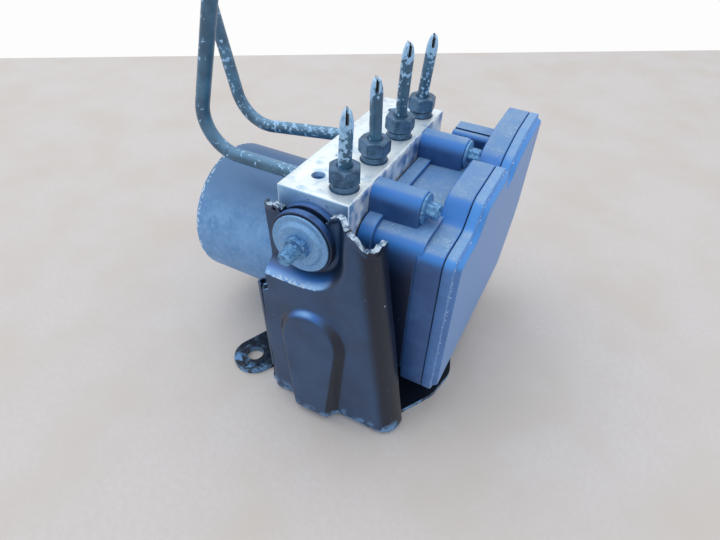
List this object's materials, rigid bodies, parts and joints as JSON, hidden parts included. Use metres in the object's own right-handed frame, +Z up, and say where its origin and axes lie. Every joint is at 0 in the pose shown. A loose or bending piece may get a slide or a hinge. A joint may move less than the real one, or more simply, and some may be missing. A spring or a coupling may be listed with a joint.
{
  "type": "anti-lock brake hydraulic unit",
  "caption": "Anti-lock brake hydraulic unit: alloy valve block with round pump motor, plastic control unit, pinched-off brake pipes and a torn black bracket on rubber mounts.",
  "frame": {"origin": "on the ground, at the underside of the bracket's base plate, under the middle of the valve block", "axes": "+Z up, out of the wheel pipe ports; +X from the motor to the control unit; -Y out of the bracket's upright wall, along the front stud"},
  "size_m": [0.1561, 0.1441, 0.1688],
  "materials": {
    "bearing_steel": "ground",
    "black_paint": "satin black paint, chipped",
    "board_laminate": "green solder mask",
    "brush_carbon": "matt carbon",
    "bush_bronze": "oiled sintered bronze",
    "coated_pipe": "grey-green coating, flaking",
    "coil_plastic": "moulded",
    "component_black": "moulded",
    "copper": "enamelled or bare copper",
    "cover_plastic": "black glass-filled, rubbed",
    "ferrite": "matt sintered",
    "housing_plastic": "black glass-filled, moulded",
    "machined_alloy": "machined, dulled",
    "magnetic_steel": "bright ground",
    "motor_steel": "dull grey zinc",
    "mount_rubber": "dusty",
    "plate_plastic": "moulded",
    "plated_nut_steel": "dull zinc plate",
    "screw_steel": "zinc plate",
    "seal_rubber": "matt",
    "spring_steel": "drawn wire",
    "tinned_pin": "tinned",
    "washer_steel": "dull zinc plate"
  },
  "bodies": {
    "unit": {"accumulator_caps": "machined_alloy", "accumulator_spring_front": "spring_steel", "accumulator_spring_rear": "spring_steel", "base_grommets": "mount_rubber", "base_screws": "screw_steel", "board_components": "component_black", "bracket": "black_paint", "brush_plate": "plate_plastic", "brush_springs": "spring_steel", "circuit_board": "board_laminate", "connector_pins": "tinned_pin", "cover_seal": "seal_rubber", "ecu_cover": "cover_plastic", "ecu_housing": "housing_plastic", "ecu_screws": "screw_steel", "front_bearing": "bearing_steel", "front_grommet": "mount_rubber", "front_master_pipe": "coated_pipe", "front_stud": "screw_steel", "front_washer": "washer_steel", "housing_gasket": "seal_rubber", "hydraulic_block": "machined_alloy", "master_tube_nuts": "plated_nut_steel", "motor_brushes": "brush_carbon", "motor_can": "motor_steel", "motor_contact": "copper", "motor_magnets": "ferrite", "pump_plugs": "magnetic_steel", "pump_spring_front": "spring_steel", "pump_spring_rear": "spring_steel", "rear_bearing_bush": "bush_bronze", "rear_master_pipe": "coated_pipe", "valve_coils": "coil_plastic", "wheel_pipe_1": "coated_pipe", "wheel_pipe_2": "coated_pipe", "wheel_pipe_3": "coated_pipe", "wheel_pipe_4": "coated_pipe", "wheel_tube_nuts": "plated_nut_steel"},
    "rotor": {"rotor_shaft": "bearing_steel", "armature_core": "magnetic_steel", "armature_windings": "copper", "commutator": "copper"},
    "eccentric_ring": {"eccentric_ring": "bearing_steel"},
    "valve_armature_1": {"valve_armature_1": "magnetic_steel"},
    "valve_armature_2": {"valve_armature_2": "magnetic_steel"},
    "valve_armature_3": {"valve_armature_3": "magnetic_steel"},
    "valve_armature_4": {"valve_armature_4": "magnetic_steel"},
    "valve_armature_5": {"valve_armature_5": "magnetic_steel"},
    "valve_armature_6": {"valve_armature_6": "magnetic_steel"},
    "valve_armature_7": {"valve_armature_7": "magnetic_steel"},
    "valve_armature_8": {"valve_armature_8": "magnetic_steel"},
    "pump_piston_front": {"pump_piston_front": "bearing_steel"},
    "pump_piston_rear": {"pump_piston_rear": "bearing_steel"},
    "accumulator_piston_front": {"accumulator_piston_front": "machined_alloy"},
    "accumulator_piston_rear": {"accumulator_piston_rear": "machined_alloy"}
  },
  "joints": [
    {"name": "rotor_spin", "type": "hinge", "parent": "unit", "child": "rotor", "pos_m": [-0.035, 0, 0.0503], "axis": [1, 0, 0], "continuous": true},
    {"name": "eccentric_ring_spin", "type": "hinge", "parent": "rotor", "child": "eccentric_ring", "pos_m": [0, 0, 0.0512], "axis": [1, 0, 0], "continuous": true},
    {"name": "pump_piston_front_slide", "type": "slide", "parent": "unit", "child": "pump_piston_front", "axis": [0, -1, 0], "range_m": [0, 0.0018], "stiffness_N_per_m": 3000, "deforming": ["pump_spring_front"]},
    {"name": "accumulator_piston_front_slide", "type": "slide", "parent": "unit", "child": "accumulator_piston_front", "axis": [0, 0, -1], "range_m": [0, 0.008], "stiffness_N_per_m": 1500, "deforming": ["accumulator_spring_front"]},
    {"name": "pump_piston_rear_slide", "type": "slide", "parent": "unit", "child": "pump_piston_rear", "axis": [0, 1, 0], "range_m": [0, 0.0018], "stiffness_N_per_m": 3000, "deforming": ["pump_spring_rear"]},
    {"name": "accumulator_piston_rear_slide", "type": "slide", "parent": "unit", "child": "accumulator_piston_rear", "axis": [0, 0, -1], "range_m": [0, 0.008], "stiffness_N_per_m": 1500, "deforming": ["accumulator_spring_rear"]},
    {"name": "valve_armature_1_slide", "type": "slide", "parent": "unit", "child": "valve_armature_1", "axis": [1, 0, 0], "range_m": [0, 0.00025], "stiffness_N_per_m": 2000},
    {"name": "valve_armature_2_slide", "type": "slide", "parent": "unit", "child": "valve_armature_2", "axis": [1, 0, 0], "range_m": [0, 0.00025], "stiffness_N_per_m": 2000},
    {"name": "valve_armature_3_slide", "type": "slide", "parent": "unit", "child": "valve_armature_3", "axis": [1, 0, 0], "range_m": [0, 0.00025], "stiffness_N_per_m": 2000},
    {"name": "valve_armature_4_slide", "type": "slide", "parent": "unit", "child": "valve_armature_4", "axis": [1, 0, 0], "range_m": [0, 0.00025], "stiffness_N_per_m": 2000},
    {"name": "valve_armature_5_slide", "type": "slide", "parent": "unit", "child": "valve_armature_5", "axis": [1, 0, 0], "range_m": [0, 0.00025], "stiffness_N_per_m": 2000},
    {"name": "valve_armature_6_slide", "type": "slide", "parent": "unit", "child": "valve_armature_6", "axis": [1, 0, 0], "range_m": [0, 0.00025], "stiffness_N_per_m": 2000},
    {"name": "valve_armature_7_slide", "type": "slide", "parent": "unit", "child": "valve_armature_7", "axis": [1, 0, 0], "range_m": [0, 0.00025], "stiffness_N_per_m": 2000},
    {"name": "valve_armature_8_slide", "type": "slide", "parent": "unit", "child": "valve_armature_8", "axis": [1, 0, 0], "range_m": [0, 0.00025], "stiffness_N_per_m": 2000}
  ]
}
